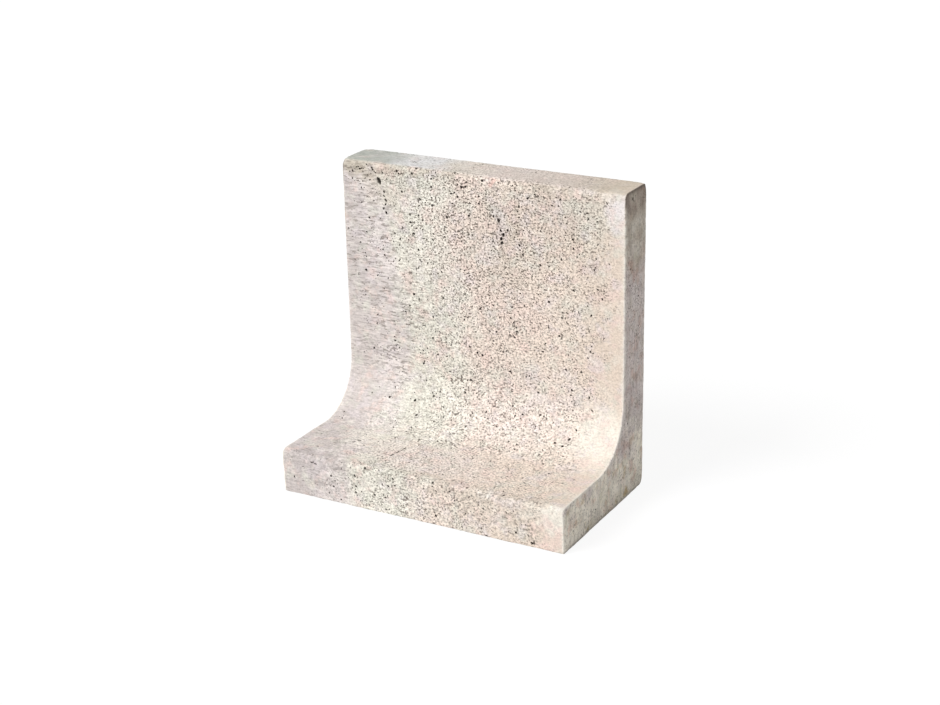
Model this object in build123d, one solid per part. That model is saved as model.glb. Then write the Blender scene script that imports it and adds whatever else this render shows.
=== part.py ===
from build123d import *
import math
import os

# L-shaped retaining wall block, cast in one piece: an upright stem on a foot that reaches out in front of it.
# X runs along the wall, -Y is the way that the foot points, and +Z is up.
# The origin is the centre of the footprint, at the level of the ground.

# Overall sizes, in millimetres
width = 400
height = 400
foot_length = 230

# Thickness of the two legs
stem_thickness = 60
foot_thickness = 60

# The cove that stiffens the inside corner, tangent to the stem and to the foot
cove_radius = 72

# How far the toe's face leans back from its top to the ground, to leave the mould
toe_draft = 3

# Rounds along the wall, one for each outer corner of the section
lip_round = 8
nose_round = 8
heel_round = 5
back_round = 2
sole_round = 2

# Round on the edges of both end faces
end_round = 1.5

# Faces of the section, as places along Y
back = foot_length / 2
stem_front = back - stem_thickness

# The toe's face leans back under the nose round, whose front stands at the full length of the foot
toe_lean = math.atan2(toe_draft, foot_thickness)
toe_corner = -foot_length / 2 - nose_round * (math.tan(toe_lean) + 1 / math.cos(toe_lean) - 1)


def l_section():
    """The section across the wall, one radius at each corner, from the heel round to the sole."""
    corners = [
        (back, 0, heel_round),
        (back, height, back_round),
        (stem_front, height, lip_round),
        (stem_front, foot_thickness, cove_radius),
        (toe_corner, foot_thickness, nose_round),
        (toe_corner + toe_draft, 0, sole_round),
    ]
    with BuildSketch(Plane.YZ) as section:
        with BuildLine():
            FilletPolyline(
                [(y, z) for y, z, _ in corners],
                radius=[radius for _, _, radius in corners],
                close=True,
            )
        make_face()
    return section.sketch


def wall_block():
    """The section run along the wall, with the edges of both end faces eased."""
    block = extrude(l_section(), amount=width / 2, both=True)
    end_faces = block.faces().filter_by(Axis.X)
    return fillet(end_faces.edges(), radius=end_round)


os.makedirs("parts", exist_ok=True)
export_step(wall_block(), "parts/retaining_wall_block.step")
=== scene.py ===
import math
import random

import bmesh
import bpy
import numpy as np
from mathutils import Matrix, Vector, kdtree, noise
from mathutils.geometry import delaunay_2d_cdt


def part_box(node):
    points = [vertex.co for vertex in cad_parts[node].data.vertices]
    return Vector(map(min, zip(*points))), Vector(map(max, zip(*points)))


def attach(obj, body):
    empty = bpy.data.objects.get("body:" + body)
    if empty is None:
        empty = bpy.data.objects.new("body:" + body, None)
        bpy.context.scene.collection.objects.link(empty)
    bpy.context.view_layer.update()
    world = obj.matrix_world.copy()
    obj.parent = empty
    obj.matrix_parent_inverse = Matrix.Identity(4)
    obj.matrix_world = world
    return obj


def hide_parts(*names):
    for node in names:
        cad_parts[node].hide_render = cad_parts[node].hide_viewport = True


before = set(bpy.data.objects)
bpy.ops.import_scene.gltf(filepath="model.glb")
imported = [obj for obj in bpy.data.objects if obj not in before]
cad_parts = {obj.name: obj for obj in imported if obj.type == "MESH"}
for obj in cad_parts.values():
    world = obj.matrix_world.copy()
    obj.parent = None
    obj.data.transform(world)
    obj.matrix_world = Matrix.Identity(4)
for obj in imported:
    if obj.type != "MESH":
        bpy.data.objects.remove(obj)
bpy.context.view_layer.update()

# The block, in metres. Its box comes from the frame, and the sizes of its section are those of the part.
NODE = "retaining_wall_block"
BODY = "root"
LOW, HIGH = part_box(NODE)
HALF_WIDTH = (HIGH.x - LOW.x) / 2
STEM_THICKNESS = 0.060
FOOT_THICKNESS = 0.060
COVE_RADIUS = 0.072
TOE_DRAFT = 0.003
LIP_ROUND = 0.008
NOSE_ROUND = 0.008
HEEL_ROUND = 0.005
BACK_ROUND = 0.002
SOLE_ROUND = 0.002
END_ROUND = 0.0015
STEM_FRONT = HIGH.y - STEM_THICKNESS

# The photograph's camera, as fitted to the block's edges
PHOTO_WIDTH_PX = 940
FOCAL_PX = 1810
SENSOR_MM = 36
EYE = Vector((1.0524, -1.8391, 0.9885))
AZIMUTH, ELEVATION, ROLL = math.radians(29.45), math.radians(20.76), math.radians(-1.19)

# Spacing of the mesh's plain points: along the flats, down the cove, and along and across the rounds
FLAT_PITCH = 0.0075
COVE_PITCH = 0.0045
ROUND_PITCH = 0.0030
ROUND_STEP = 0.0016
ARRIS_PITCH = 0.0022
ARRIS_ROWS = (0.0013, 0.0032, 0.0065)
END_ROUND_STEPS = 3
LONG_RUN = 0.05
ROW_MARGIN = 0.9
FLAT_JITTER = 0.3

# How finely the outline is searched, how close two points or two vertices are to be one, from what angle an
# edge is sharp, and the seed of all the random draws
OUTLINE_STEP = 0.001
TRIANGLE_MERGE = 1e-8
WELD = 2e-6
SHARP_ANGLE = math.radians(35)
RANDOM_SEED = 400

# Pores left by air: how many are tried on a square metre, half their length, from the least up, their length
# over their width, their bend, their depth over half their width, and how uneven their rings are
MOST_PORES = 82000
PORE_LEAST = 0.0008
PORE_RANGE = 0.0015
PORE_STRETCH = (1.1, 2.8)
PORE_BEND = 0.6
PORE_DEPTH = (0.9, 1.5)
PORE_RAGGED = (0.82, 1.12)

# From what half length a pore is large, the points of its rim and its floor, the floor's share of its size,
# and the shelf in a large one: its share of the size, its points, its share of the depth and how far inside
# it is
LARGE_PORE = 0.0018
LARGE_POINTS, SMALL_POINTS = (10, 4), (6, 3)
FLOOR_SHARE = 0.45
SHELF_SHARE, SHELF_POINTS, SHELF_DEPTH, SHELF_INSIDE = 0.8, 7, 0.7, 0.8

# What pores keep clear of: each other, a sheet's rim and its plain points, and the cells that they are sorted
# into
PORE_GAP = 0.0003
RIM_GAP = 0.0012
POINT_GAP = 0.0005
POINT_MARGIN = 1.05
SEARCH_MARGIN = 1.1
PORE_CELL = 0.006

# How pores gather: the share that lies beside an earlier one, how far from it, and among how many of the last
CLUMPED_SHARE = 0.45
CLUMP_STEP = (0.0022, 0.0048)
CLUMP_MEMORY = 60

# How the pores of a string bend, and how they stray from it in turn and size. Those that are at least
# LONG_PORE times as long as they are wide lie exactly on it.
STRING_BEND = 0.2
STRING_TURN = 0.8
STRING_SIZE = (0.60, 1.05)
LONG_PORE = 1.65

# How rough and open the concrete is: on the hidden faces, on the ends, and down the front, where the lip
# starts and ends, and where the stem's face, half the cove, the cove and the nose end
HIDDEN_GRIT = 0.45
END_GRIT = 0.50
GRIT_DOWN = [0.45, 1.00, 0.78, 0.74, 0.79, 0.74]

# The share of it at the left, right of the middle and at the right, the border of each along the wall, and
# how far the borders shift at the same places down the front
LEFT_GRIT, MIDDLE_GRIT, RIGHT_GRIT = 0.40, 0.82, 0.24
LEFT_RISE = (-0.230, -0.060)
MIDDLE_FALL = (0.110, 0.030)
RIGHT_FALL = (0.198, 0.144)
GRIT_SHIFT = [0.000, 0.000, 0.010, 0.032, -0.004, -0.002]

# The noise that makes the borders uneven and the roughness patchy: how far it goes, and its size
DRIFT, DRIFT_SIZE = 0.08, 0.04
RAGGED, RAGGED_SIZE = 0.05, 0.012
PATCH_LEAST, PATCH_RANGE, PATCH_SIZE = 0.85, 0.40, 0.030

# How close pores lie: the roughness with the first and with most of them, then their crowds, as a size, the
# noise over which they grow, and the share between them, or at most on the ends
OPEN_GRIT = (0.25, 1.0)
CROWD_SIZE, CROWD_RISE, CROWD_LEAST = 0.020, (0.30, 0.70), 0.20
END_CROWD_SIZE, END_CROWD_RISE, END_CROWD_MOST = 0.03, (0.3, 0.8), 0.16

# How the cast faces wave, and how far the arrises are rubbed back: at the ends and along the wall
WAVE_DEPTH = 0.0004
WAVE_SIZE = 0.070
END_RUB = 0.0006
LONG_RUB = 0.0005
ARRIS_REACH = 0.0030

# How unevenly they are rubbed: the mean share, then the share and the size of a broad and a fine noise
RUB_MEAN = 0.35
BROAD_RUB, BROAD_RUB_SIZE = 0.5, 0.030
FINE_RUB, FINE_RUB_SIZE = 0.7, 0.006

# How far it reaches: at the ends so many times its depth and a little more, and along the wall past the round
# and into the block
RUB_SPREAD, RUB_MORE = 4, 0.0015
LONG_RUB_PAST, LONG_RUB_INSET = 0.003, 0.004

# How much further the arrises of the ends are rubbed at corners of the section, and how far from the corner
CORNER_RUB = {"back_edge": 0.0019, "lip": 0.0006, "nose": 0.0006, "heel": 0.0010}
CORNER_REACH = 0.0050

# Soft studio light, and a floor that shows white with the shadow in it
SKY_STRENGTH = 0.39
KEY_STRENGTH = 2.7
KEY_ANGLE = math.radians(30)
KEY_AZIMUTH, KEY_ELEVATION = math.radians(-35), math.radians(43)
FLOOR_REACH = 12
FLOOR_DROP = -0.0002
FLOOR_BOUNCE = 0.8
SHADOW_SHARE = 0.14
FLOOR_GLOW = 0.89


def smooth(low, high, value):
    """0 below low, 1 above high and a smooth rise between, for a number or an array. Where low is above high,
    it falls."""
    t = np.clip((value - low) / (high - low), 0, 1)
    return t * t * (3 - 2 * t)


def from_least(least, share):
    """The least where the share is 0, up to 1 where the share is 1."""
    return least + (1 - least) * share


def soft_noise(place, size, seed):
    """Noise from about 0 to 1 whose blobs are about size across."""
    x, y, z = place
    return 0.5 + 0.5 * noise.noise(Vector((x / size + seed, y / size, z / size)))


def tree_of(places):
    """A search tree of flat places."""
    tree = kdtree.KDTree(len(places))
    for i, place in enumerate(places):
        tree.insert((*place, 0), i)
    tree.balance()
    return tree


class Outline:
    """The section's outline as lines and arcs, walked by arc length: from the middle of the base to the heel,
    up the plain back, over the top, down the stem's face, round the cove, along the foot and down the toe,
    back to the base. It runs with the solid on its left."""

    ROUNDS = "heel", "back_edge", "lip", "cove", "nose", "sole"
    OUTER_ROUNDS = "heel", "back_edge", "lip", "nose", "sole"
    FACES = "back", "top", "stem_face", "foot_top", "toe_face", "base"

    def __init__(self, corners):
        places = [Vector(corner[:2]) for corner in corners]
        self.spans, runs = {}, []
        start = (places[-1] + places[0]) / 2
        here, walked = start, 0.0
        for i, corner in enumerate(places):
            ahead = places[(i + 1) % len(places)]
            way_in, way_out = (corner - here).normalized(), (ahead - corner).normalized()
            heading = math.atan2(way_in.y, way_in.x)
            turn = math.atan2(way_in.x * way_out.y - way_in.y * way_out.x, way_in.dot(way_out))
            radius = corners[i][2]
            setback = radius * math.tan(abs(turn) / 2)
            straight = (corner - here).length - setback
            runs.append((walked, *here, heading, 0.0))
            self.spans[self.FACES[i - 1]] = walked, walked + straight
            walked += straight
            runs.append((walked, *(corner - way_in * setback), heading, math.copysign(1 / radius, turn)))
            self.spans[self.ROUNDS[i]] = walked, walked + radius * abs(turn)
            walked += radius * abs(turn)
            here = corner + way_out * setback
        self.length = walked + (start - here).length
        runs.append((walked, *here, math.atan2(way_out.y, way_out.x), 0.0))
        self.spans["base_front"] = walked, self.length
        self.starts, self.y, self.z, self.heading, self.curve = np.array(runs).T

    def at(self, walked):
        """The places (y, z) and the outward normals at these arc lengths."""
        walked = np.asarray(walked, float)
        i = np.searchsorted(self.starts, walked, side="right") - 1
        run, curve, first = walked - self.starts[i], self.curve[i], self.heading[i]
        heading = first + curve * run
        radius = 1 / np.where(curve == 0, 1, curve)
        y = np.where(curve == 0, run * np.cos(first), radius * (np.sin(heading) - np.sin(first)))
        z = np.where(curve == 0, run * np.sin(first), radius * (np.cos(first) - np.cos(heading)))
        return np.stack([self.y[i] + y, self.z[i] + z], -1), np.stack([np.sin(heading), -np.cos(heading)], -1)


def block_outline():
    """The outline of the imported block, one radius at each corner."""
    lean = math.atan2(TOE_DRAFT, FOOT_THICKNESS)
    toe = LOW.y - NOSE_ROUND * (math.tan(lean) + 1 / math.cos(lean) - 1)
    return Outline(
        [
            (HIGH.y, LOW.z, HEEL_ROUND),
            (HIGH.y, HIGH.z, BACK_ROUND),
            (STEM_FRONT, HIGH.z, LIP_ROUND),
            (STEM_FRONT, FOOT_THICKNESS, COVE_RADIUS),
            (toe, FOOT_THICKNESS, NOSE_ROUND),
            (toe + TOE_DRAFT, LOW.z, SOLE_ROUND),
        ]
    )


OUTLINE = block_outline()

# Chips in the arrises of the ends: the end's side, the place along the outline, half the length and the depth
END_CHIPS = [
    (1, OUTLINE.spans["lip"][1] + 0.002, 0.0045, 0.0016),
    (1, OUTLINE.spans["nose"][0] + 0.002, 0.0040, 0.0012),
    (-1, OUTLINE.spans["lip"][0] - 0.001, 0.0035, 0.0006),
    (-1, OUTLINE.spans["nose"][1] + 0.020, 0.0050, 0.0006),
]

# The faces of the front, and the height or the depth at which each starts on the unrolled outline
STEM, FOOT, TOE = "stem_face", "foot_top", "toe_face"
FACE_TOPS = {
    STEM: HIGH.z - LIP_ROUND,
    FOOT: STEM_FRONT - COVE_RADIUS,
    TOE: FOOT_THICKNESS - NOSE_ROUND,
}

# Pores that stand out, in strings: the face, the first and last place as x and height (on the foot's top, x
# and y), how many pores there are, half the length of each, and its length over its width
PORE_STRINGS = [
    (STEM, (-0.1465, 0.380), (-0.1440, 0.374), 1, 0.0056, 1.7),
    (STEM, (-0.139, 0.366), (-0.138, 0.333), 6, 0.0027, 1.5),
    (STEM, (-0.152, 0.352), (-0.154, 0.346), 1, 0.0017, 1.4),
    (STEM, (-0.180, 0.391), (-0.167, 0.390), 5, 0.0019, 1.3),
    (STEM, (-0.156, 0.394), (-0.151, 0.385), 4, 0.0021, 1.3),
    (STEM, (-0.120, 0.394), (-0.110, 0.388), 3, 0.0024, 1.3),
    (STEM, (-0.100, 0.341), (-0.102, 0.335), 1, 0.0021, 1.3),
    (STEM, (-0.074, 0.392), (-0.060, 0.392), 3, 0.0015, 1.5),
    (STEM, (-0.036, 0.392), (-0.030, 0.389), 2, 0.0018, 1.2),
    (STEM, (-0.028, 0.383), (-0.025, 0.380), 1, 0.0025, 1.3),
    (STEM, (-0.038, 0.376), (-0.030, 0.366), 2, 0.0021, 1.3),
    (STEM, (-0.068, 0.349), (-0.066, 0.343), 1, 0.0020, 1.2),
    (STEM, (-0.044, 0.362), (-0.033, 0.357), 3, 0.0019, 1.5),
    (STEM, (-0.172, 0.279), (-0.169, 0.270), 2, 0.0022, 1.4),
    (STEM, (-0.187, 0.269), (-0.184, 0.266), 1, 0.0016, 1.5),
    (STEM, (-0.142, 0.280), (-0.131, 0.266), 4, 0.0018, 1.4),
    (STEM, (0.018, 0.353), (0.020, 0.347), 1, 0.0020, 1.4),
    (STEM, (0.030, 0.350), (0.032, 0.345), 1, 0.0041, 1.5),
    (STEM, (0.033, 0.336), (0.034, 0.315), 4, 0.0032, 1.4),
    (STEM, (0.056, 0.321), (0.061, 0.303), 3, 0.0021, 1.5),
    (STEM, (0.083, 0.299), (0.086, 0.292), 1, 0.0023, 1.4),
    (STEM, (0.106, 0.312), (0.100, 0.300), 2, 0.0020, 1.5),
    (STEM, (0.114, 0.242), (0.118, 0.237), 1, 0.0020, 1.2),
    (STEM, (0.136, 0.320), (0.140, 0.314), 1, 0.0018, 1.3),
    (STEM, (0.160, 0.318), (0.163, 0.312), 1, 0.0018, 1.4),
    (STEM, (0.176, 0.312), (0.180, 0.308), 1, 0.0019, 1.3),
    (STEM, (0.166, 0.266), (0.170, 0.260), 1, 0.0023, 1.5),
    (STEM, (0.043, 0.224), (0.051, 0.205), 3, 0.0019, 1.4),
    (STEM, (-0.017, 0.251), (-0.013, 0.247), 1, 0.0018, 1.2),
    (STEM, (-0.077, 0.188), (-0.075, 0.182), 1, 0.0018, 1.3),
    (STEM, (-0.176, 0.188), (-0.160, 0.170), 4, 0.0013, 1.6),
    (STEM, (0.139, 0.076), (0.130, 0.060), 3, 0.0024, 1.5),
    (FOOT, (-0.059, -0.038), (-0.064, -0.074), 3, 0.0054, 3.8),
    (FOOT, (-0.123, -0.045), (-0.131, -0.057), 2, 0.0031, 1.7),
    (FOOT, (0.003, -0.086), (0.006, -0.083), 1, 0.0020, 1.3),
    (TOE, (-0.158, 0.051), (-0.146, 0.049), 2, 0.0024, 2.6),
    (TOE, (-0.077, 0.061), (-0.074, 0.050), 2, 0.0023, 1.4),
    (TOE, (-0.092, 0.032), (-0.090, 0.015), 4, 0.0021, 1.4),
    (TOE, (-0.034, 0.054), (-0.031, 0.041), 3, 0.0022, 1.4),
    (TOE, (0.044, 0.052), (0.047, 0.050), 1, 0.0019, 1.3),
    (TOE, (0.070, 0.052), (0.095, 0.036), 4, 0.0017, 1.4),
    (TOE, (0.020, 0.025), (0.024, 0.011), 3, 0.0023, 1.4),
]


class Sheet:
    """Points laid out flat, to be triangulated and then wrapped on the block. Each has its depth under the
    surface and how far it lies inside a pore, from 0 at the rim to 1."""

    def __init__(self):
        self.places, self.depths, self.inside, self.edges = [], [], [], []

    def add(self, places, depth=0.0, inside=0.0):
        first = len(self.places)
        self.places += [Vector(p) for p in places]
        self.depths += [depth] * len(places)
        self.inside += [inside] * len(places)
        return range(first, len(self.places))

    def add_loop(self, places, depth=0.0, inside=0.0):
        loop = self.add(places, depth, inside)
        self.edges += list(zip(loop, [*loop[1:], loop[0]]))

    def triangulated(self, bounded):
        """The places, depths, insides and triangles, of all the points or only of what the loops bound."""
        found = delaunay_2d_cdt(self.places, self.edges, [], int(bounded), TRIANGLE_MERGE)
        first = [came_from[0] if came_from else -1 for came_from in found[3]]
        depths = np.array([self.depths[i] if i >= 0 else 0.0 for i in first])
        inside = np.array([self.inside[i] if i >= 0 else 0.0 for i in first])
        return np.array([tuple(p) for p in found[0]]), depths, inside, np.array(found[2])


class Pore:
    """A hole left by an air bubble: a bent oval rim with a smaller floor under it."""

    def __init__(self, place, half_length, rng, stretch=None, bend=None, turn=None):
        self.place = Vector(place)
        self.half_length = half_length
        self.half_width = half_length / (stretch or rng.uniform(*PORE_STRETCH))
        self.bend = rng.uniform(-PORE_BEND, PORE_BEND) if bend is None else bend
        self.turn = rng.uniform(0, math.tau) if turn is None else turn
        self.depth = self.half_width * rng.uniform(*PORE_DEPTH)
        self.reach = self.half_length * (1 + abs(self.bend) / 2)
        self.rng = rng

    def ring(self, share, count):
        """Points round the pore, at a share of its size."""
        first = self.rng.uniform(0, math.tau)
        points = []
        for k in range(count):
            angle = first + math.tau * k / count
            ragged = share * self.rng.uniform(*PORE_RAGGED)
            along = self.half_length * ragged * math.cos(angle)
            across = self.half_width * ragged * math.sin(angle)
            across += self.bend * (along * along / self.half_length - self.half_length / 3)
            point = Vector((along, across))
            point.rotate(Matrix.Rotation(self.turn, 2))
            points.append(self.place + point)
        return points

    def lay(self, sheet):
        """Adds the pore to a sheet: its rim, its floor and, in a large one, a shelf between them."""
        large = self.half_length > LARGE_PORE
        rim_points, floor_points = LARGE_POINTS if large else SMALL_POINTS
        sheet.add_loop(self.ring(1.0, rim_points))
        if large:
            sheet.add(self.ring(SHELF_SHARE, SHELF_POINTS), SHELF_DEPTH * self.depth, SHELF_INSIDE)
        sheet.add(self.ring(FLOOR_SHARE, floor_points), self.depth, 1.0)


def scattered_pores(rng, low, high, density, inside, given=()):
    """Pores at random over a box of a sheet, many beside an earlier one, so that they make clumps and
    strings. They keep clear of each other, density(place) is from 0 to 1, and inside(pore) says whether the
    sheet holds it."""
    grid = {}
    pores = list(given)

    def cell(place):
        return int(place[0] // PORE_CELL), int(place[1] // PORE_CELL)

    def near(place):
        i, j = cell(place)
        return (p for di in (-1, 0, 1) for dj in (-1, 0, 1) for p in grid.get((i + di, j + dj), ()))

    for pore in given:
        grid.setdefault(cell(pore.place), []).append(pore)
    for _ in range(int((high[0] - low[0]) * (high[1] - low[1]) * MOST_PORES)):
        place = Vector((rng.uniform(low[0], high[0]), rng.uniform(low[1], high[1])))
        if pores and rng.random() < CLUMPED_SHARE:
            step = Vector((rng.uniform(*CLUMP_STEP), 0))
            step.rotate(Matrix.Rotation(rng.uniform(0, math.tau), 2))
            place = rng.choice(pores[-CLUMP_MEMORY:]).place + step
        pore = Pore(place, PORE_LEAST + PORE_RANGE * rng.random() ** 3, rng)
        if rng.random() > density(place) or not inside(pore):
            continue
        if any((p.place - place).length < p.reach + pore.reach + PORE_GAP for p in near(place)):
            continue
        grid.setdefault(cell(place), []).append(pore)
        pores.append(pore)
    return pores


def pore_strings(rng):
    """The pores that stand out, each long way lying nearly along its string."""
    pores = []
    for face, first, last, count, half_length, stretch in PORE_STRINGS:
        level = OUTLINE.spans[face][0] + FACE_TOPS[face]
        start, end = Vector((level - first[1], first[0])), Vector((level - last[1], last[0]))
        way = end - start
        aside = way.orthogonal().normalized()
        for number in range(count):
            place = start + way * ((number + 0.5) / count)
            turn, size = math.atan2(way.y, way.x), half_length
            bend = rng.uniform(-STRING_BEND, STRING_BEND)
            if stretch < LONG_PORE:
                place += aside * rng.uniform(-1.0, 1.0) * half_length
                turn += rng.uniform(-STRING_TURN, STRING_TURN)
                size *= rng.uniform(*STRING_SIZE)
            pores.append(Pore(place, size, rng, stretch, bend, turn))
    return pores


def clear_of(pores, places):
    """The places that lie in no pore."""
    if not pores:
        return list(places)
    tree = tree_of([pore.place for pore in pores])
    widest = SEARCH_MARGIN * (max(pore.reach for pore in pores) + POINT_GAP)

    def clear(place):
        near = tree.find_range((*place, 0), widest)
        return all(far > POINT_MARGIN * pores[i].reach + POINT_GAP for _, i, far in near)

    return [place for place in places if clear(place)]


def coarseness(place):
    """How rough and open the concrete is at a place of the unrolled faces, from 0 to about 1.2. The hidden
    back and base are even, and the front is smoother at both ends of the wall and at the lip."""
    walked, x = place
    spans = OUTLINE.spans
    if walked < spans["top"][0] or walked > spans["sole"][1]:
        return HIDDEN_GRIT
    cove, nose = spans["cove"], spans["nose"]
    stops = [*spans["lip"], spans[STEM][1], sum(cove) / 2, cove[1], nose[1]]
    along = np.interp(walked, stops, GRIT_DOWN)
    shift = np.interp(walked, stops, GRIT_SHIFT)
    drift = DRIFT * (soft_noise((walked, x, 0), DRIFT_SIZE, 8.7) - 0.5)
    ragged = RAGGED * (soft_noise((walked, x, 0), RAGGED_SIZE, 2.9) - 0.5)
    left = from_least(LEFT_GRIT, smooth(*LEFT_RISE, x + drift - shift))
    middle = from_least(MIDDLE_GRIT, smooth(*MIDDLE_FALL, x))
    right = from_least(RIGHT_GRIT, smooth(*RIGHT_FALL, x + shift + drift / 2 + ragged))
    patches = PATCH_LEAST + PATCH_RANGE * soft_noise((walked, x, 0), PATCH_SIZE, 14.2)
    return float(left * middle * right * along * patches)


def front_density(place):
    """How close the pores lie at a place of the unrolled faces, from 0 to 1."""
    crowd = smooth(*CROWD_RISE, soft_noise((*place, 0), CROWD_SIZE, 3.1))
    return smooth(*OPEN_GRIT, coarseness(place)) * from_least(CROWD_LEAST, crowd)


def plain_points(rng, edge):
    """The points of the unrolled faces between the pores: even rows along the rounds and the ends, and uneven
    ones on the flats."""
    spans, length = OUTLINE.spans, OUTLINE.length
    points = []

    def row(walked, pitch):
        count = round(2 * edge / pitch)
        points.extend((walked, x) for x in np.linspace(-edge, edge, count + 1)[1:-1])

    for name in (*Outline.OUTER_ROUNDS, "cove"):
        step, pitch = (COVE_PITCH, FLAT_PITCH) if name == "cove" else (ROUND_STEP, ROUND_PITCH)
        first, last = spans[name]
        count = math.ceil((last - first) / step)
        for walked in np.linspace(first - step, last + step, count + 3):
            row(walked, pitch)
    row(0, FLAT_PITCH)
    row(length, FLAT_PITCH)
    for distance in ARRIS_ROWS:
        walks = np.arange(ARRIS_PITCH, length - ARRIS_PITCH, ARRIS_PITCH + distance / 3)
        for x in (distance - edge, edge - distance):
            points.extend((walked, x) for walked in walks)
    jitter = FLAT_PITCH * FLAT_JITTER
    flat_edge = edge - ARRIS_ROWS[-1]
    for name in (*Outline.FACES, "base_front"):
        first, last = spans[name]
        for walked in np.arange(first + FLAT_PITCH / 2, last - FLAT_PITCH / 3, FLAT_PITCH):
            for x in np.arange(-edge + ARRIS_ROWS[-1] + FLAT_PITCH / 2, flat_edge, FLAT_PITCH):
                points.append((walked + rng.uniform(-jitter, jitter), x + rng.uniform(-jitter, jitter)))
    return points


def wrapped_faces(rng):
    """The outline's faces and rounds, unrolled, with their pores, then wrapped on the block, short of its
    ends."""
    edge = HALF_WIDTH - END_ROUND
    length = OUTLINE.length

    def holds(pore):
        from_side = min(pore.place.x, length - pore.place.x, edge - abs(pore.place.y))
        return from_side > pore.reach + RIM_GAP

    pores = scattered_pores(rng, (0, -edge), (length, edge), front_density, holds, pore_strings(rng))
    sheet = Sheet()
    for pore in pores:
        pore.lay(sheet)
    sheet.add(clear_of(pores, plain_points(rng, edge)))
    for x in (-edge, edge):
        sheet.add([(walked, x) for walked in rim_walk()])
    flat, depths, inside, triangles = sheet.triangulated(bounded=False)
    places, normals = OUTLINE.at(flat[:, 0])
    sunk = places - normals * depths[:, None]
    grit = np.array([coarseness(place) for place in flat])
    return np.column_stack([flat[:, 1], sunk]), inside, grit, triangles


def rim_walk():
    """The arc lengths at which the faces meet the rounded edges of the ends."""
    stops = [0.0]
    for first, last in sorted(OUTLINE.spans.values()):
        step = ARRIS_PITCH if last - first > LONG_RUN else ROUND_STEP
        stops += list(np.linspace(first, last, math.ceil((last - first) / step) + 1)[1:])
    return np.unique(np.round(stops, 9))


def end_density(place):
    """How close the pores lie on the ends, from 0 to 1."""
    crowd = smooth(*END_CROWD_RISE, soft_noise((*place, 0), END_CROWD_SIZE, 5.5))
    return END_CROWD_MOST * crowd


def end_face(rng, side):
    """One end's flat L, inside its rounded edges, with its pores."""
    walked = rim_walk()
    places, normals = OUTLINE.at(walked[:-1])
    tree = tree_of(places)

    def inset(y, z):
        """How far a place lies inside the outline, or less than nothing outside it."""
        _, i, far = tree.find((y, z, 0))
        outward = (y - places[i][0]) * normals[i][0] + (z - places[i][1]) * normals[i][1]
        return -far if outward > 0 else far

    def holds(pore):
        return inset(*pore.place) > pore.reach + END_ROUND + RIM_GAP

    pores = scattered_pores(rng, (LOW.y, LOW.z), (HIGH.y, HIGH.z), end_density, holds)
    sheet = Sheet()
    for pore in pores:
        pore.lay(sheet)
    points = []
    for distance in ARRIS_ROWS:
        ring = places[::2] - normals[::2] * (END_ROUND + distance)
        points += [(y, z) for y, z in ring if inset(y, z) > ROW_MARGIN * (END_ROUND + distance)]
    for y in np.arange(LOW.y, HIGH.y, FLAT_PITCH):
        for z in np.arange(LOW.z, HIGH.z, FLAT_PITCH):
            if inset(y, z) > END_ROUND + ARRIS_ROWS[-1] + FLAT_PITCH / 3:
                points.append((y, z))
    sheet.add(clear_of(pores, points))
    sheet.add_loop(places - normals * END_ROUND)
    flat, depths, inside, triangles = sheet.triangulated(bounded=True)
    x = side * (HALF_WIDTH - depths)
    grit = np.full(len(flat), END_GRIT)
    return np.column_stack([x, flat]), inside, grit, triangles if side > 0 else triangles[:, ::-1]


def end_rounds(side):
    """The quarter rounds that join the wrapped faces to one end."""
    walked = rim_walk()
    places, normals = OUTLINE.at(walked)
    angles = np.linspace(0, math.pi / 2, END_ROUND_STEPS + 1)
    points, triangles = [], []
    for angle in angles:
        inward = END_ROUND * (1 - math.cos(angle))
        x = side * (HALF_WIDTH - END_ROUND + END_ROUND * math.sin(angle))
        points.append(np.column_stack([np.full(len(walked), x), places - normals * inward]))
    count = len(walked)
    for step in range(END_ROUND_STEPS):
        for i in range(count - 1):
            a, b = step * count + i, step * count + i + 1
            c, d = b + count, a + count
            triangles += [(a, b, c), (a, c, d)]
    triangles = np.array(triangles)
    points = np.concatenate(points)
    plain = np.zeros(len(points))
    return points, plain, plain + END_GRIT, triangles if side < 0 else triangles[:, ::-1]


def rub(along, seed, most):
    """How far an arris is rubbed back at a place along it."""
    fine = noise.noise(Vector((along / FINE_RUB_SIZE, seed, 0.7)))
    broad = noise.noise(Vector((along / BROAD_RUB_SIZE, seed, 4.2)))
    return most * max(0.0, RUB_MEAN + BROAD_RUB * broad + FINE_RUB * fine)


def rubbed_ends(walked, side):
    """How far the arrises of the two ends are rubbed back and chipped, at places along the outline."""
    rubbed = np.array([rub(w, 11 * s, END_RUB) for w, s in zip(walked, side)])
    for chip_side, chip_walk, length, depth in END_CHIPS:
        along = np.where(side == chip_side, np.abs(walked - chip_walk) / length, 1)
        rubbed += depth * np.sqrt(np.clip(1 - along * along, 0, 1))
    for name, most in CORNER_RUB.items():
        away = (walked - sum(OUTLINE.spans[name]) / 2) / CORNER_REACH
        rubbed += most * np.exp(-away * away)
    return rubbed


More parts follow.
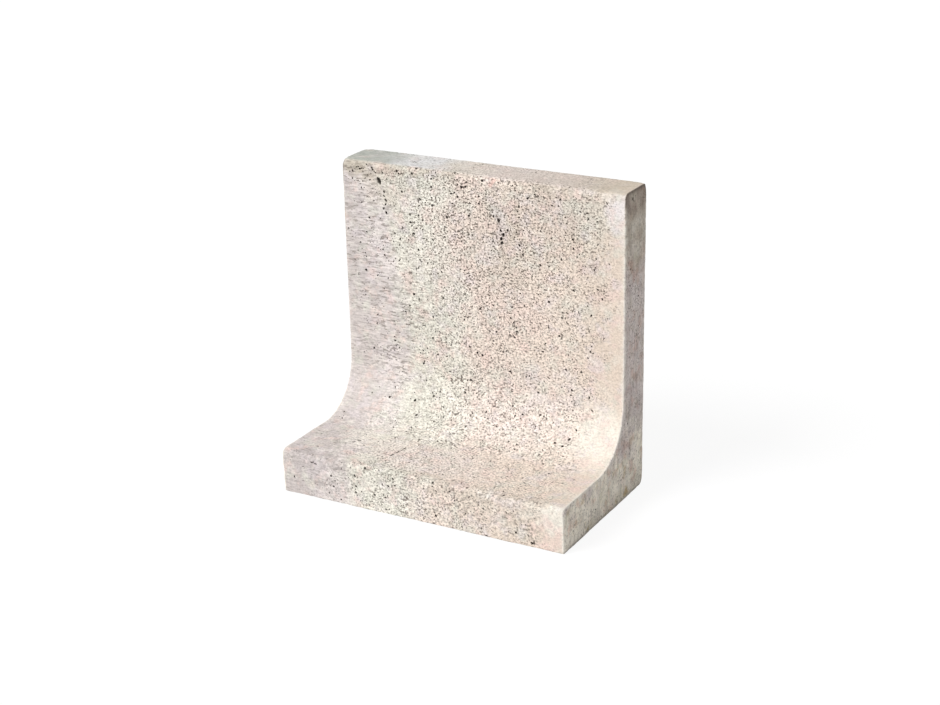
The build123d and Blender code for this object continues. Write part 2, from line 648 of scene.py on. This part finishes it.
def worn_shape(points):
    """The points moved a little, for cast faces that aren't quite flat and arrises that are rubbed and
    chipped, and how near each point lies to an arris of the ends, from 0 to 1. No point leaves the block's
    box."""
    walks = np.arange(0, OUTLINE.length, OUTLINE_STEP)
    places, normals = OUTLINE.at(walks)
    tree = tree_of(places)
    nearest = np.array([tree.find((y, z, 0))[1] for _, y, z in points])
    walked, outward = walks[nearest], normals[nearest]
    inset = np.abs(((points[:, 1:] - places[nearest]) * outward).sum(1))
    side = np.sign(points[:, 0])
    far = np.hypot(inset, HALF_WIDTH - np.abs(points[:, 0]))
    moved = points.copy()
    for i, point in enumerate(points):
        moved[i] += WAVE_DEPTH * np.array(noise.noise_vector(Vector(point) / WAVE_SIZE))

    # The arrises of the two ends, rubbed back towards the middle of the block
    diagonal = np.column_stack([side, outward]) / math.sqrt(2)
    rubbed = rubbed_ends(walked, side)
    moved -= diagonal * (rubbed * np.clip(1 - far / (RUB_SPREAD * rubbed + RUB_MORE), 0, 1))[:, None]

    # The arrises along the wall, each a round of the outline
    for number, name in enumerate(Outline.OUTER_ROUNDS):
        first, last = OUTLINE.spans[name]
        past = np.clip(np.maximum(first - walked, walked - last), 0, None)
        rubbed = np.array([rub(x, 5.3 + number, LONG_RUB) for x in points[:, 0]])
        fall = np.clip(1 - past / LONG_RUB_PAST, 0, 1) * np.clip(1 - inset / LONG_RUB_INSET, 0, 1)
        moved[:, 1:] -= outward * (rubbed * fall)[:, None]
    return np.clip(moved, LOW, HIGH), np.exp(-((far / ARRIS_REACH) ** 2))


def block_mesh():
    """The whole block as one closed mesh: wrapped faces, ends and the rounds between them, welded."""
    rng = random.Random(RANDOM_SEED)
    parts = [wrapped_faces(rng)]
    for side in (-1, 1):
        parts += [end_rounds(side), end_face(rng, side)]
    points, inside, grit = (np.concatenate(values) for values in list(zip(*parts))[:3])
    points, arris = worn_shape(points)
    triangles, first = [], 0
    for part in parts:
        triangles.append(part[3] + first)
        first += len(part[0])
    mesh = bpy.data.meshes.new("concrete_block")
    mesh.from_pydata(points.tolist(), [], np.concatenate(triangles).tolist())
    for name, values in (("pore", inside), ("grit", grit), ("arris", arris)):
        mesh.attributes.new(name, "FLOAT", "POINT").data.foreach_set("value", values.astype(np.float32))
    shape = bmesh.new()
    shape.from_mesh(mesh)
    bmesh.ops.remove_doubles(shape, verts=shape.verts, dist=WELD)
    bmesh.ops.recalc_face_normals(shape, faces=shape.faces)
    shape.to_mesh(mesh)
    shape.free()
    mesh.shade_smooth()
    mesh.set_sharp_from_angle(angle=SHARP_ANGLE)
    return mesh


def linear(colour):
    """A colour written as the eight-bit values of a screen, for a shader."""
    shares = [value / 255 for value in colour]
    return [c / 12.92 if c <= 0.04045 else ((c + 0.055) / 1.055) ** 2.4 for c in shares] + [1.0]


def new_material(name):
    """A material with nodes of its own, and the helper that fills them."""
    material = bpy.data.materials.new(name)
    material.use_nodes = True
    return material, Shading(material.node_tree)


class Shading:
    """A tree of shader nodes, filled one call at a time."""

    def __init__(self, tree):
        self.tree = tree
        tree.nodes.clear()
        self.place = None

    def add(self, kind, inputs=(), **settings):
        """A node with its settings, and its inputs given by number or name, as values or as sockets to
        link."""
        node = self.tree.nodes.new("ShaderNode" + kind)
        for name, value in settings.items():
            setattr(node, name, value)
        for name, value in dict(inputs).items():
            if isinstance(value, bpy.types.NodeSocket):
                self.tree.links.new(value, node.inputs[name])
            else:
                node.inputs[name].default_value = value
        return node

    def math(self, operation, first, second=0.0):
        return self.add("Math", {0: first, 1: second}, operation=operation).outputs[0]

    def times(self, first, second):
        return self.math("MULTIPLY", first, second)

    def rise(self, value, low, high, start=0.0, end=1.0, kind="SMOOTHSTEP"):
        """A smooth rise from start to end as the value goes from low to high, held at its ends."""
        inputs = {"Value": value, "From Min": low, "From Max": high, "To Min": start, "To Max": end}
        return self.add("MapRange", inputs, interpolation_type=kind).outputs["Result"]

    def spread(self, value, low, high, start, end):
        """The value carried straight from one range to another, and held at its ends."""
        return self.rise(value, low, high, start, end, "LINEAR")

    def noise(self, size, detail=2.0, roughness=0.5, stretch=(1, 1, 1), seed=0.0):
        """Noise with blobs of this size in metres, stretched along an axis where stretch is over 1."""
        scale = [1 / (size * s) for s in stretch]
        shift = [seed * s for s in SEED_SHIFTS]
        mapping = self.add("Mapping", {"Vector": self.place, "Location": shift, "Scale": scale})
        inputs = {"Vector": mapping.outputs[0], "Scale": 1.0, "Detail": detail, "Roughness": roughness}
        return self.add("TexNoise", inputs).outputs[0]

    def wobble(self, size, reach, seed=0.0):
        """Noise of this size that goes from minus to plus the reach."""
        return self.spread(self.noise(size, detail=3.0, seed=seed), *NOISE_RANGE, -reach, reach)

    def blend(self, factor, first, second):
        """The first value where the factor is 0, and the second where it is 1."""
        return self.add("Mix", {0: factor, 2: first, 3: second}, data_type="FLOAT").outputs[0]

    def mix(self, factor, below, above, blend="MIX"):
        node = self.add("Mix", {0: factor, 6: below, 7: above}, data_type="RGBA", blend_type=blend)
        return node.outputs[2]

    def ramp(self, value, stops):
        node = self.add("ValToRGB", {0: value})
        points = node.color_ramp.elements
        while len(points) < len(stops):
            points.new(0.5)
        for point, (position, colour) in zip(points, stops):
            point.position, point.color = position, linear(colour)
        return node.outputs["Color"]

    def grey(self, value):
        return self.add("CombineColor", {0: value, 1: value, 2: value}).outputs[0]

    def warped(self, size, reach):
        """The place, pushed about by up to this reach in blobs of this size."""
        push = self.add("TexNoise", {"Vector": self.place, "Scale": 1 / size, "Detail": 1.0}).outputs[1]
        push = self.add("VectorMath", {0: push, 1: (0.5, 0.5, 0.5)}, operation="SUBTRACT").outputs[0]
        push = self.add("VectorMath", {0: push, "Scale": 2 * reach}, operation="SCALE").outputs[0]
        return self.add("VectorMath", {0: self.place, 1: push}, operation="ADD").outputs[0]

    def patch(self, place, centre, reach):
        """1 round the centre and 0 some way past the reach along each axis, from a place that may be
        warped."""
        away = self.add("VectorMath", {0: place, 1: centre}, operation="SUBTRACT").outputs[0]
        away = self.add("VectorMath", {0: away, 1: reach}, operation="DIVIDE").outputs[0]
        far = self.add("VectorMath", {0: away}, operation="LENGTH").outputs["Value"]
        return self.rise(far, *PATCH_FALL)


# Colours of the concrete, as a screen shows them
LAVENDER_GREY = 211, 202, 198
LAVENDER_DARK = 196, 187, 184
LAVENDER_PALE = 230, 221, 217
GREEN_CREAM = 239, 234, 222
PINK_BEIGE = 237, 222, 210
BEIGE = 236, 221, 207
PALE_EDGE = 226, 210, 195
PINK_WHITE = 239, 227, 219
PINK = 233, 209, 200
GREEN = 215, 214, 202
LAVENDER = 224, 214, 217
LIME = 244, 239, 228
FROST = 238, 231, 230
RUST = 226, 184, 173
BROWN = 206, 194, 180
TAN = 188, 179, 165
# Painted shade inside the pores
PORE_SHADE = 50, 43, 38
# Painted shade in the hollows and at the ends' foot; it also colours the dark rim round the ends' top
SPECK = 112, 101, 92
TOP_GREEN = 178, 182, 174
TOP_GREY = 200, 202, 199
TOP_BLUE = 230, 229, 229
TOP_CREAM = 224, 216, 204
TOP_PINK = 222, 210, 202
TOP_TAN = 213, 201, 191
TOP_OLIVE = 204, 191, 173
# Painted light: the pale foot of the ends stands for light bounced up from the floor
END_PAINTED_BOUNCE = 248, 241, 227
END_LAVENDER = 222, 212, 208
END_BROWN = 200, 186, 174
END_GREEN = 213, 206, 194
END_DARK = 190, 179, 165
END_CAP = 158, 143, 131
END_STAIN = 206, 188, 150

# The zones of colour: the place from 0 to 1 along the front, along the top and up the ends, and the colour
FRONT_ZONES = [
    (0.10, LAVENDER_GREY),
    (0.16, LAVENDER_PALE),
    (0.22, LAVENDER_PALE),
    (0.26, GREEN_CREAM),
    (0.44, GREEN_CREAM),
    (0.50, PINK_BEIGE),
    (0.80, BEIGE),
    (0.95, PALE_EDGE),
]
TOP_ZONES = [
    (0.10, TOP_GREEN),
    (0.18, TOP_GREY),
    (0.23, TOP_BLUE),
    (0.31, TOP_BLUE),
    (0.39, TOP_CREAM),
    (0.55, TOP_PINK),
    (0.78, TOP_TAN),
    (0.95, TOP_OLIVE),
]
# Up the ends the colour is paler at the foot and darker at the top, partly painted light and shade from the
# floor's bounce
END_ZONES_WITH_PAINTED_LIGHT = [
    (0.05, END_PAINTED_BOUNCE),
    (0.13, END_PAINTED_BOUNCE),
    (0.22, END_LAVENDER),
    (0.66, END_LAVENDER),
    (0.77, END_BROWN),
    (0.85, END_GREEN),
    (0.93, END_DARK),
    (1.00, END_CAP),
]

# The range that noise mostly keeps to, and how far along each axis a seed moves it
NOISE_RANGE = 0.3, 0.7
SEED_SHIFTS = 1.0, 1.7, 2.3

# Blotches all over: the seed of their noise, their colour and their cover, then the noise's size and range,
# and the share on the top
BLOTCHES = [(1.3, PINK, 0.58), (4.9, GREEN, 0.52), (8.2, LAVENDER, 0.40), (12.7, LIME, 0.30)]
BLOTCH_SIZE = 0.022
BLOTCH_RISE = 0.50, 0.68
TOP_BLOTCHES = 0.4

# Patches of the stem's face, as x and height, then of the whole front: the centre, the reach along each axis,
# the colour and how strongly it covers
STEM_PATCHES = [
    ((-0.165, 0.393), (0.055, 0.016), BROWN, 0.75),
    ((-0.188, 0.397), (0.034, 0.016), TAN, 1.00),
    ((-0.080, 0.399), (0.060, 0.010), TAN, 0.45),
    ((-0.100, 0.398), (0.085, 0.012), BROWN, 1.00),
    ((-0.120, 0.360), (0.030, 0.026), BROWN, 0.30),
    ((-0.194, 0.345), (0.030, 0.026), LAVENDER_DARK, 0.75),
    ((-0.194, 0.260), (0.030, 0.040), LAVENDER_DARK, 0.50),
    ((-0.135, 0.225), (0.032, 0.030), LAVENDER_DARK, 0.40),
    ((-0.085, 0.185), (0.045, 0.045), GREEN, 0.35),
    ((-0.130, 0.178), (0.030, 0.034), LAVENDER_DARK, 0.35),
    ((-0.150, 0.368), (0.026, 0.028), BROWN, 0.40),
    ((-0.150, 0.310), (0.028, 0.055), LAVENDER_DARK, 0.25),
    ((0.090, 0.325), (0.035, 0.040), BROWN, 0.22),
    ((-0.030, 0.285), (0.046, 0.075), PINK, 0.28),
    ((0.038, 0.345), (0.038, 0.045), BROWN, 0.50),
    ((0.040, 0.285), (0.038, 0.040), BROWN, 0.38),
    ((-0.070, 0.385), (0.070, 0.016), GREEN, 0.40),
    ((0.105, 0.370), (0.050, 0.038), PINK, 0.45),
    ((0.105, 0.375), (0.045, 0.040), BROWN, 0.40),
    ((0.152, 0.367), (0.040, 0.042), GREEN, 0.45),
    ((0.190, 0.377), (0.020, 0.030), FROST, 0.90),
]
PATCHES = [((x, 0.055, z), (wide, 0.030, high), *look) for (x, z), (wide, high), *look in STEM_PATCHES] + [
    ((0.090, 0.056, 0.396), (0.042, 0.030, 0.009), BROWN, 0.80),
    ((0.162, 0.056, 0.396), (0.046, 0.030, 0.007), BROWN, 0.50),
    ((0.050, 0.055, 0.225), (0.050, 0.030, 0.040), PINK, 0.40),
    ((0.060, 0.030, 0.110), (0.110, 0.060, 0.070), PINK_WHITE, 0.60),
    ((0.172, 0.030, 0.095), (0.042, 0.050, 0.058), LIME, 0.60),
    ((-0.085, 0.025, 0.100), (0.050, 0.050, 0.045), GREEN, 0.55),
    ((-0.090, -0.030, 0.060), (0.070, 0.040, 0.025), GREEN_CREAM, 0.85),
    ((-0.020, -0.060, 0.060), (0.100, 0.045, 0.020), PINK_WHITE, 0.90),
    ((0.110, -0.116, 0.025), (0.100, 0.012, 0.045), BROWN, 0.40),
    ((-0.040, -0.116, 0.025), (0.060, 0.012, 0.045), GREEN_CREAM, 0.40),
    ((-0.170, -0.116, 0.030), (0.075, 0.014, 0.045), LAVENDER_DARK, 0.65),
    ((0.060, -0.111, 0.057), (0.220, 0.016, 0.012), BROWN, 0.60),
    ((-0.155, -0.111, 0.057), (0.065, 0.016, 0.014), LAVENDER_DARK, 1.00),
    ((-0.060, -0.111, 0.057), (0.050, 0.016, 0.012), GREEN, 0.65),
    ((0.188, -0.114, 0.045), (0.026, 0.012, 0.030), LIME, 0.75),
    ((0.188, -0.114, 0.008), (0.026, 0.012, 0.018), PINK, 0.50),
    ((0.015, 0.060, 0.396), (0.011, 0.012, 0.006), RUST, 0.70),
]

# How patches fade out, as a share of their reach, and the size and the reach of their warp
PATCH_FALL = 1.30, 0.35
PATCH_WARP = 0.014, 0.020

# The noise that makes the borders of the zones uneven, its size and its reach, on the front, the top and the
# ends, and how far those of the front lean to the left between two heights
FRONT_WOBBLE = 0.05, 0.018
TOP_WOBBLE = 0.03, 0.03
END_WOBBLE = 0.03, 0.08
LEAN_RISE, LEAN = (0.22, 0.37), 0.045

# Where the top's colour starts, by height and by depth, how much nearer to the front it does so at the right,
# where the colour of the ends starts, and how strongly both cover
TOP_RISE = HIGH.z - 0.0030, HIGH.z - 0.0008
LIP_RISE = 0.0575, 0.0625
LIP_SHIFT_RISE, LIP_SHIFT = (-0.05, 0.11), 0.006
END_RISE = HALF_WIDTH - 0.0025, HALF_WIDTH - 0.0010
TOP_COVER, END_COVER = 0.90, 0.95

# Stains low on the ends: their noise, its range and the heights between which they stop
STAINS = {"size": 0.022, "detail": 4.0, "seed": 21.0}
STAIN_RISE = 0.59, 0.72
STAIN_FALL = 0.10, 0.01

# The fine texture, each a noise: mottling, sand grain, drag marks along the wall and streaks down the ends
MOTTLE = {"size": 0.0070}
GRAIN = {"size": 0.0023, "roughness": 0.6, "stretch": (1.3, 1, 1), "seed": 3.0}
DRAGS = {"size": 0.0020, "detail": 1.0, "stretch": (7, 1, 1), "seed": 6.0}
STREAKS = {"size": 0.0036, "detail": 3.0, "roughness": 0.6, "stretch": (1, 1, 5), "seed": 9.0}

# Where the face is dragged, along the wall and up it, the share on the foot, and how much drag marks and
# streaks replace the grain
DRAG_FALL = 0.46, 0.12
DRAG_FOOT_RISE, DRAG_FOOT = (0.05, 0.16), 0.60
DRAG_SHARE, STREAK_SHARE = 0.60, 0.65

# Painted shade and highlight: the grain and the mottling darken the colour where their relief is low and pale
# it where high
# How dark and how pale the grain and the mottling make the colour, and how much they count by roughness
GRAIN_RISE, GRAIN_SHADE_AND_HIGHLIGHT = (0.32, 0.68), (0.64, 1.26)
MOTTLE_SHADE_AND_HIGHLIGHT = 0.91, 1.09
GRIT_RANGE, GRIT_SHARES = (0.0, 1.25), (0.20, 1.20)

# Hollows between the grains, painted dark as shade: the noise and its range for round and for long ones, and
# how many there are by roughness and by crowd
SPECKS = {"size": 0.0024, "detail": 1.0, "stretch": (1.2, 1, 1), "seed": 17.0}
DASHES = {"size": 0.0026, "detail": 1.0, "stretch": (2.8, 1, 1), "seed": 15.0}
CROWDS = {"size": 0.016, "seed": 23.0}
SPECK_RISE, DASH_RISE = (0.562, 0.642), (0.570, 0.650)
HOLLOW_RANGE, HOLLOW_SHARES = (0.1, 1.1), (0.10, 1.1)
CROWD_RANGE, CROWD_SHARES = (0.35, 0.65), (0.65, 1.25)

# How strongly the painted shade in the hollows and in the pores covers
HOLLOW_SHADE_COVER = 0.88
PORE_SHADE_RISE, PORE_SHADE_COVER = (0.0, 0.7), 0.95

# The pale rubbed arrises are partly wear and partly a painted highlight
# Rubbed arrises: their noise, its range and their cover, and the share at the left and round the top
WEAR_AND_HIGHLIGHT = {"size": 0.008, "detail": 3.0, "seed": 30.0}
WEAR_AND_HIGHLIGHT_RISE, WEAR_AND_HIGHLIGHT_COVERS = (0.35, 0.60), (0.2, 0.9)
WEAR_AND_HIGHLIGHT_LEFT_RISE, WEAR_AND_HIGHLIGHT_LEFT = (-0.1, 0.1), 0.2
WEAR_AND_HIGHLIGHT_TOP_FALL, WEAR_AND_HIGHLIGHT_TOP = (0.388, 0.365), 0.1

# The ends' dark top rim and the painted contact shadow at their foot: between which heights, and how strong
RIM_RISE, RIM_COVER = (0.380, 0.390), 0.90
CONTACT_SHADE_FALL, CONTACT_SHADE_COVER = (0.006, 0.001), 0.5

# Relief, and how matt the concrete is
HOLLOW_DEPTH = 0.6
BUMP_STRENGTH, BUMP_DISTANCE = 0.9, 0.0009
ROUGHNESS_RANGE = 0.95, 0.80
SPECULAR = 0.3


def front_tint(s, across):
    """Cream concrete, grey at the left, with broad patches on the front."""
    tint = s.ramp(across, FRONT_ZONES)
    ragged = s.warped(*PATCH_WARP)
    for centre, reach, colour, most in PATCHES:
        tint = s.mix(s.times(s.patch(ragged, centre, reach), most), tint, linear(colour))
    return tint


def top_tint(s, x):
    """The stem's top: a greenish film at the left, then pale, pink and tan."""
    along = s.spread(x, -HALF_WIDTH, HALF_WIDTH, 0.0, 1.0)
    return s.ramp(s.math("ADD", along, s.wobble(*TOP_WOBBLE, seed=34.0)), TOP_ZONES)


def end_tint_with_painted_light(s, z):
    """The ends: pale on the foot as painted light from the floor's bounce, and stained there, lavender grey
    up the stem, and brown and darker at the top, partly as painted shade.
    """
    up = s.spread(z, 0.0, HIGH.z, 0.0, 1.0)
    tint = s.ramp(s.math("ADD", up, s.wobble(*END_WOBBLE, seed=26.0)), END_ZONES_WITH_PAINTED_LIGHT)
    stain = s.rise(s.noise(**STAINS), *STAIN_RISE)
    return s.mix(s.times(stain, s.rise(z, *STAIN_FALL)), tint, linear(END_STAIN))


def zoned_tint(s, x, y, z, across, end):
    """The colours of the front, the top and the ends, with blotches all over. On the front a blotch has its
    own colour, and on the ends it stains what is there."""
    lip = s.math("ADD", y, s.rise(x, *LIP_SHIFT_RISE, 0.0, LIP_SHIFT))
    top = s.times(s.rise(z, *TOP_RISE), s.rise(lip, *LIP_RISE))
    tint = s.mix(s.times(top, TOP_COVER), front_tint(s, across), top_tint(s, x))
    tint = s.mix(s.times(end, END_COVER), tint, end_tint_with_painted_light(s, z))
    clean = s.spread(top, 0.0, 1.0, 1.0, TOP_BLOTCHES)
    for seed, colour, most in BLOTCHES:
        spots = s.noise(BLOTCH_SIZE, detail=3.0, roughness=0.6, seed=seed)
        amount = s.times(s.rise(spots, *BLOTCH_RISE, 0.0, most), clean)
        stained = s.mix(1.0, tint, linear(colour), "MULTIPLY")
        tint = s.mix(amount, tint, s.mix(end, linear(colour), stained))
    return tint


def hollows(s, dragged, grit):
    """1 in the hollows between the grains, which are long where the face is dragged and are painted dark as
    shade, and 0 outside them."""
    specks = s.rise(s.noise(**SPECKS), *SPECK_RISE)
    dashes = s.rise(s.noise(**DASHES), *DASH_RISE)
    hollow = s.times(s.blend(dragged, specks, dashes), s.spread(grit, *HOLLOW_RANGE, *HOLLOW_SHARES))
    crowd = s.spread(s.noise(**CROWDS), *CROWD_RANGE, *CROWD_SHARES)
    return s.math("MINIMUM", s.times(hollow, crowd), 1.0)


def wear_and_painted_light_tint(s, tint, x, z, end, arris):
    """The colour with its wear and its painted light. Rubbed arrises are paler, partly with wear and partly
    as a painted highlight, less so at the left and round the top, the ends have a dark rim round the top, and
    they are dark just above the ground as a painted contact shadow."""
    # Pale arrises: partly wear, partly a painted highlight
    rubbed = s.times(arris, s.rise(s.noise(**WEAR_AND_HIGHLIGHT), *WEAR_AND_HIGHLIGHT_RISE, *WEAR_AND_HIGHLIGHT_COVERS))
    rubbed = s.times(rubbed, s.rise(x, *WEAR_AND_HIGHLIGHT_LEFT_RISE, WEAR_AND_HIGHLIGHT_LEFT, 1.0))
    tint = s.mix(s.times(rubbed, s.rise(z, *WEAR_AND_HIGHLIGHT_TOP_FALL, WEAR_AND_HIGHLIGHT_TOP, 1.0)), tint, linear(LIME))
    rim = s.times(s.times(arris, end), s.rise(z, *RIM_RISE, 0.0, RIM_COVER))
    tint = s.mix(rim, tint, linear(SPECK))
    # Painted contact shadow: the ends darkened just above the floor
    contact_shade = s.times(end, s.rise(z, *CONTACT_SHADE_FALL, 0.0, CONTACT_SHADE_COVER))
    return s.mix(contact_shade, tint, linear(SPECK))


def concrete():
    """Cast concrete, with drag marks at the left, sand grain at the right, and hollows and pores in it that
    are painted dark as shade."""
    material, s = new_material("concrete")
    s.place = s.add("TexCoord").outputs["Object"]
    x, y, z = s.add("SeparateXYZ", {0: s.place}).outputs
    pore = s.add("Attribute", attribute_name="pore").outputs["Fac"]
    grit = s.add("Attribute", attribute_name="grit").outputs["Fac"]
    arris = s.add("Attribute", attribute_name="arris").outputs["Fac"]

    # Where along the wall a place lies, from 0 to 1, with uneven borders that lean to the left near the top
    shift = s.math("ADD", s.wobble(*FRONT_WOBBLE), s.rise(z, *LEAN_RISE, 0.0, LEAN))
    across = s.spread(s.math("ADD", x, shift), -HALF_WIDTH, HALF_WIDTH, 0.0, 1.0)
    end = s.rise(s.math("ABSOLUTE", x), *END_RISE)
    tint = zoned_tint(s, x, y, z, across, end)

    # The fine texture, more of it where the concrete is rough
    # Its colour is painted shade in the low spots of its relief and painted highlight on the high ones
    mottle = s.noise(**MOTTLE)
    dragged = s.times(s.rise(across, *DRAG_FALL), s.rise(z, *DRAG_FOOT_RISE, DRAG_FOOT, 1.0))
    fine = s.blend(s.times(dragged, DRAG_SHARE), s.noise(**GRAIN), s.noise(**DRAGS))
    fine = s.blend(s.times(end, STREAK_SHARE), fine, s.noise(**STREAKS))
    shade = s.times(s.rise(fine, *GRAIN_RISE, *GRAIN_SHADE_AND_HIGHLIGHT), s.spread(mottle, *NOISE_RANGE, *MOTTLE_SHADE_AND_HIGHLIGHT))
    rough = s.spread(grit, *GRIT_RANGE, *GRIT_SHARES)
    tint = s.mix(rough, tint, s.mix(1.0, tint, s.grey(shade), "MULTIPLY"))

    # Painted shade in the hollows and the pores, then the wear with a painted highlight and a painted contact
    # shadow
    hollow = hollows(s, dragged, grit)
    tint = s.mix(s.times(hollow, HOLLOW_SHADE_COVER), tint, linear(SPECK))
    tint = s.mix(s.rise(pore, *PORE_SHADE_RISE, 0.0, PORE_SHADE_COVER), tint, linear(PORE_SHADE))
    tint = wear_and_painted_light_tint(s, tint, x, z, end, arris)

    height = s.times(s.math("ADD", fine, mottle), rough)
    height = s.math("SUBTRACT", height, s.times(hollow, HOLLOW_DEPTH))
    relief = {"Height": height, "Strength": BUMP_STRENGTH, "Distance": BUMP_DISTANCE}
    bump = s.add("Bump", relief).outputs[0]
    roughness = s.spread(fine, *NOISE_RANGE, *ROUGHNESS_RANGE)
    look = {"Base Color": tint, "Roughness": roughness, "Specular IOR Level": SPECULAR, "Normal": bump}
    surface = s.add("BsdfPrincipled", look)
    s.add("OutputMaterial", {"Surface": surface.outputs[0]})
    return material


def seen_directly(s):
    """1 for what the camera sees itself, in a mirror or through glass, and 0 for the light that the surface
    sends on."""
    rays = s.add("LightPath").outputs
    seen = s.math("MAXIMUM", rays["Is Camera Ray"], rays["Is Glossy Ray"])
    return s.math("MAXIMUM", seen, rays["Is Transmission Ray"])


def floor():
    """A plain pale floor that looks white and keeps the block's soft shadow."""
    mesh = bpy.data.meshes.new("floor")
    corners = ((-1, -1), (1, -1), (1, 1), (-1, 1))
    places = [(x * FLOOR_REACH, y * FLOOR_REACH, FLOOR_DROP) for x, y in corners]
    mesh.from_pydata(places, [], [(0, 1, 2, 3)])
    plane = bpy.data.objects.new("floor", mesh)
    bpy.context.scene.collection.objects.link(plane)
    material, s = new_material("floor")
    plain = s.add("BsdfDiffuse", {"Color": (FLOOR_BOUNCE,) * 3 + (1,)})
    shaded = s.add("BsdfDiffuse", {"Color": (SHADOW_SHARE,) * 3 + (1,)})
    white = s.add("Emission", {"Color": (1, 1, 1, 1), "Strength": FLOOR_GLOW})
    shown = s.add("AddShader", {0: shaded.outputs[0], 1: white.outputs[0]})
    surface = s.add("MixShader", {0: seen_directly(s), 1: plain.outputs[0], 2: shown.outputs[0]})
    s.add("OutputMaterial", {"Surface": surface.outputs[0]})
    mesh.materials.append(material)


def daylight():
    """Soft studio light: an even dim sky, shown white, and one broad lamp from the front, the left and
    above."""
    world = bpy.data.worlds.new("studio")
    bpy.context.scene.world = world
    world.use_nodes = True
    s = Shading(world.node_tree)
    dim = s.add("Background", {"Color": (1, 1, 1, 1), "Strength": SKY_STRENGTH})
    white = s.add("Background", {"Color": (1, 1, 1, 1), "Strength": 1.0})
    surface = s.add("MixShader", {0: seen_directly(s), 1: dim.outputs[0], 2: white.outputs[0]})
    s.add("OutputWorld", {"Surface": surface.outputs[0]})
    lamp = bpy.data.lights.new("key", "SUN")
    lamp.energy, lamp.angle = KEY_STRENGTH, KEY_ANGLE
    key = bpy.data.objects.new("key", lamp)
    key.rotation_euler = (math.pi / 2 - KEY_ELEVATION, 0, KEY_AZIMUTH)
    bpy.context.scene.collection.objects.link(key)


def camera():
    """The photograph's camera."""
    lens = bpy.data.cameras.new("camera")
    lens.sensor_width = SENSOR_MM
    lens.lens = SENSOR_MM * FOCAL_PX / PHOTO_WIDTH_PX
    eye = bpy.data.objects.new("camera", lens)
    eye.location = EYE
    turn = Matrix.Rotation(AZIMUTH, 4, "Z") @ Matrix.Rotation(math.pi / 2 - ELEVATION, 4, "X")
    eye.rotation_euler = (turn @ Matrix.Rotation(ROLL, 4, "Z")).to_euler()
    bpy.context.scene.collection.objects.link(eye)
    bpy.context.scene.camera = eye


camera()
daylight()
floor()
block = bpy.data.objects.new("concrete_block", block_mesh())
bpy.context.scene.collection.objects.link(block)
block.data.materials.append(concrete())
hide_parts(NODE)
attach(block, BODY)
bpy.context.scene.view_settings.view_transform = "Standard"
